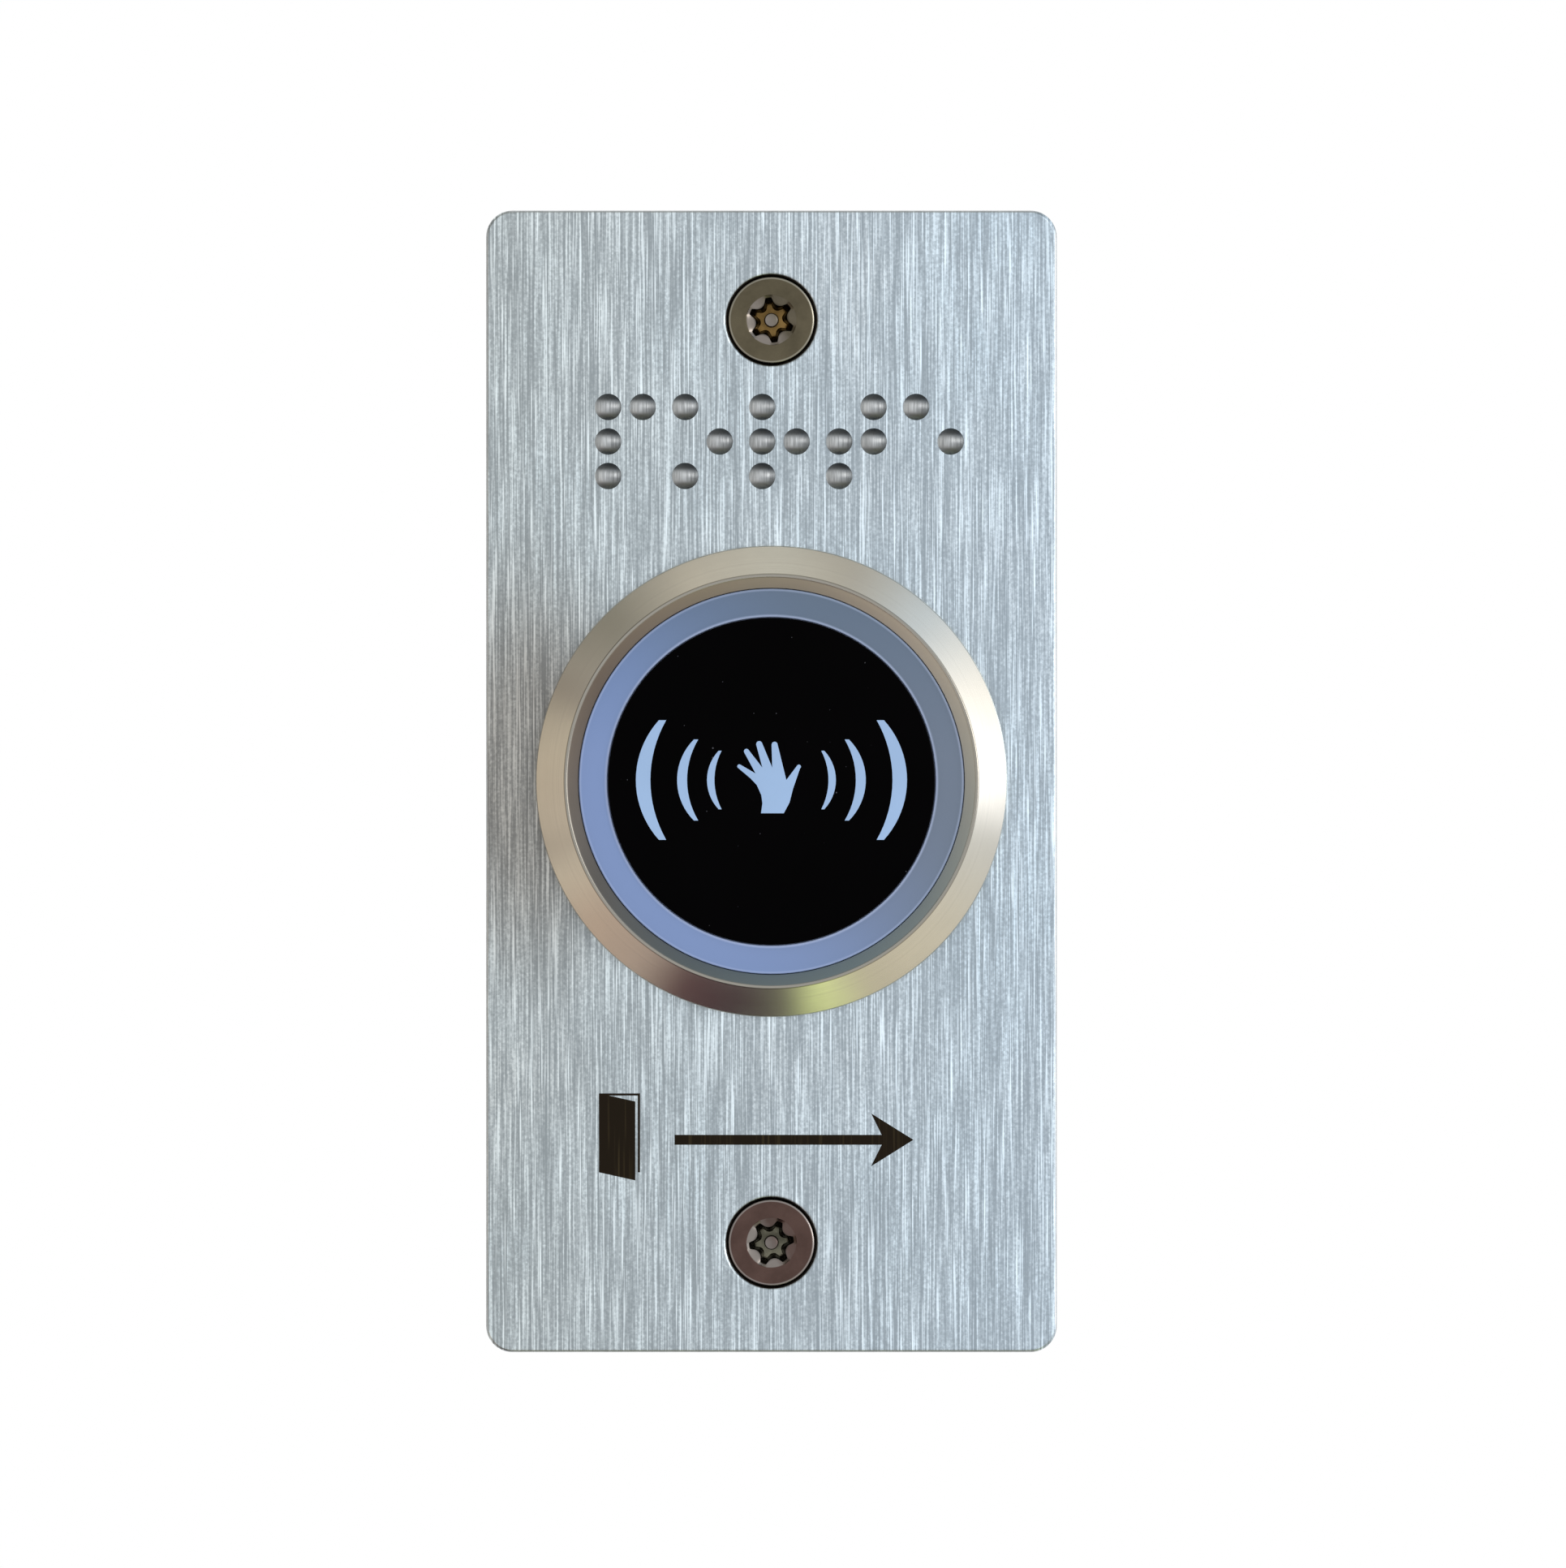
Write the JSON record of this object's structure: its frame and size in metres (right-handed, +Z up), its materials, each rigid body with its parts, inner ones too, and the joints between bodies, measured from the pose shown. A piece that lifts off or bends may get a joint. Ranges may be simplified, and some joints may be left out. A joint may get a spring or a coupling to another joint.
{
  "type": "touchless door release button",
  "caption": "Wave-to-open infrared button on a narrow brushed steel plate: light ring, raised braille, threaded barrel with boards, relay, adjusters and wiring header.",
  "frame": {"origin": "centre of the plate's back face, midway between the two fixing screws", "axes": "+Z up the plate, +X to the right as the user sees it; the user stands at -Y and the wall is at +Y"},
  "size_m": [0.043, 0.0323, 0.086],
  "materials": {
    "plate_steel": "brushed, grain upright",
    "dot_steel": "bright domes",
    "enamel": "satin black fill",
    "screw_steel": "turned, dull",
    "ring_metal": "fine turned, satin",
    "nut_metal": "nickel plated",
    "washer_steel": "zinc plated",
    "seal_rubber": "dull",
    "light_ring": "milky, lit faintly from behind",
    "black_lens": "smoked, polished",
    "lit_symbol": "milky, lit from behind",
    "black_plastic": "fine spark texture",
    "clear_epoxy": "clear, faint blue",
    "dark_epoxy": "smoked",
    "circuit_board": "solder mask",
    "led_white": "pale resin",
    "chip_black": "moulded epoxy",
    "chip_tan": "ceramic",
    "small_screw": "zinc plated",
    "standoff_brass": "turned",
    "gold_pin": "gold flash",
    "relay_plastic": "moulded",
    "soft_iron": "nickel plated",
    "bobbin_plastic": "moulded",
    "coil_copper": "enamelled copper wire",
    "contact_copper": "bronze strip",
    "spring_steel": "bright strip",
    "capacitor_sleeve": "shrink sleeve",
    "header_nylon": "natural nylon",
    "trimmer_blue": "moulded",
    "rotor_white": "moulded",
    "switch_red": "moulded"
  },
  "bodies": {
    "head": {"face_plate": "plate_steel", "braille_pins": "dot_steel", "door_pictogram": "enamel", "arrow_pictogram": "enamel", "mounting_screws": "screw_steel", "bezel_ring": "ring_metal", "flange_seal": "seal_rubber", "lock_washer": "washer_steel", "clamp_nut": "nut_metal", "lens_seal": "seal_rubber", "diffuser_cap": "light_ring", "black_window": "black_lens", "hand_symbol": "lit_symbol", "wave_symbols": "lit_symbol", "optic_shroud": "black_plastic", "ir_emitter": "clear_epoxy", "ir_receiver": "dark_epoxy", "sensor_board": "circuit_board", "status_leds": "led_white", "controller_chip": "chip_black", "chip_components": "chip_tan", "board_screws": "small_screw", "board_standoffs": "standoff_brass", "board_link_pins": "gold_pin", "relay_board": "circuit_board", "relay_base": "relay_plastic", "relay_cover": "relay_plastic", "relay_yoke": "soft_iron", "relay_core": "soft_iron", "relay_bobbin": "bobbin_plastic", "relay_coil": "coil_copper", "relay_fixed_contacts": "contact_copper", "relay_return_spring": "spring_steel", "relay_pins": "gold_pin", "surge_capacitor": "capacitor_sleeve", "flyback_diode": "chip_black", "voltage_regulator": "chip_black", "wiring_header": "header_nylon", "header_pins": "gold_pin", "trimmer_body": "trimmer_blue", "mode_switch_body": "switch_red", "rear_cover": "black_plastic", "cover_screws": "small_screw"},
    "rotor": {"trimmer_rotor": "rotor_white"},
    "slider_1": {"mode_slider_1": "rotor_white"},
    "slider_2": {"mode_slider_2": "rotor_white"},
    "armature": {"relay_armature": "soft_iron", "relay_contact_spring": "contact_copper"}
  },
  "joints": [
    {"name": "range_trimmer", "type": "hinge", "parent": "head", "child": "rotor", "pos_m": [-0.0042, 0.0237, 0.0046], "axis": [0, 1, 0], "range_deg": [-130, 130]},
    {"name": "mode_slider_1", "type": "slide", "parent": "head", "child": "slider_1", "axis": [0, 0, 1], "range_m": [0, 0.0016]},
    {"name": "mode_slider_2", "type": "slide", "parent": "head", "child": "slider_2", "axis": [0, 0, 1], "range_m": [0, 0.0016]},
    {"name": "relay_armature", "type": "hinge", "parent": "head", "child": "armature", "pos_m": [0, 0.01027, -0.0049], "axis": [-1, 0, 0], "range_deg": [0, 4], "stiffness_Nm_per_rad": 0.004, "springref_deg": -5.73}
  ]
}
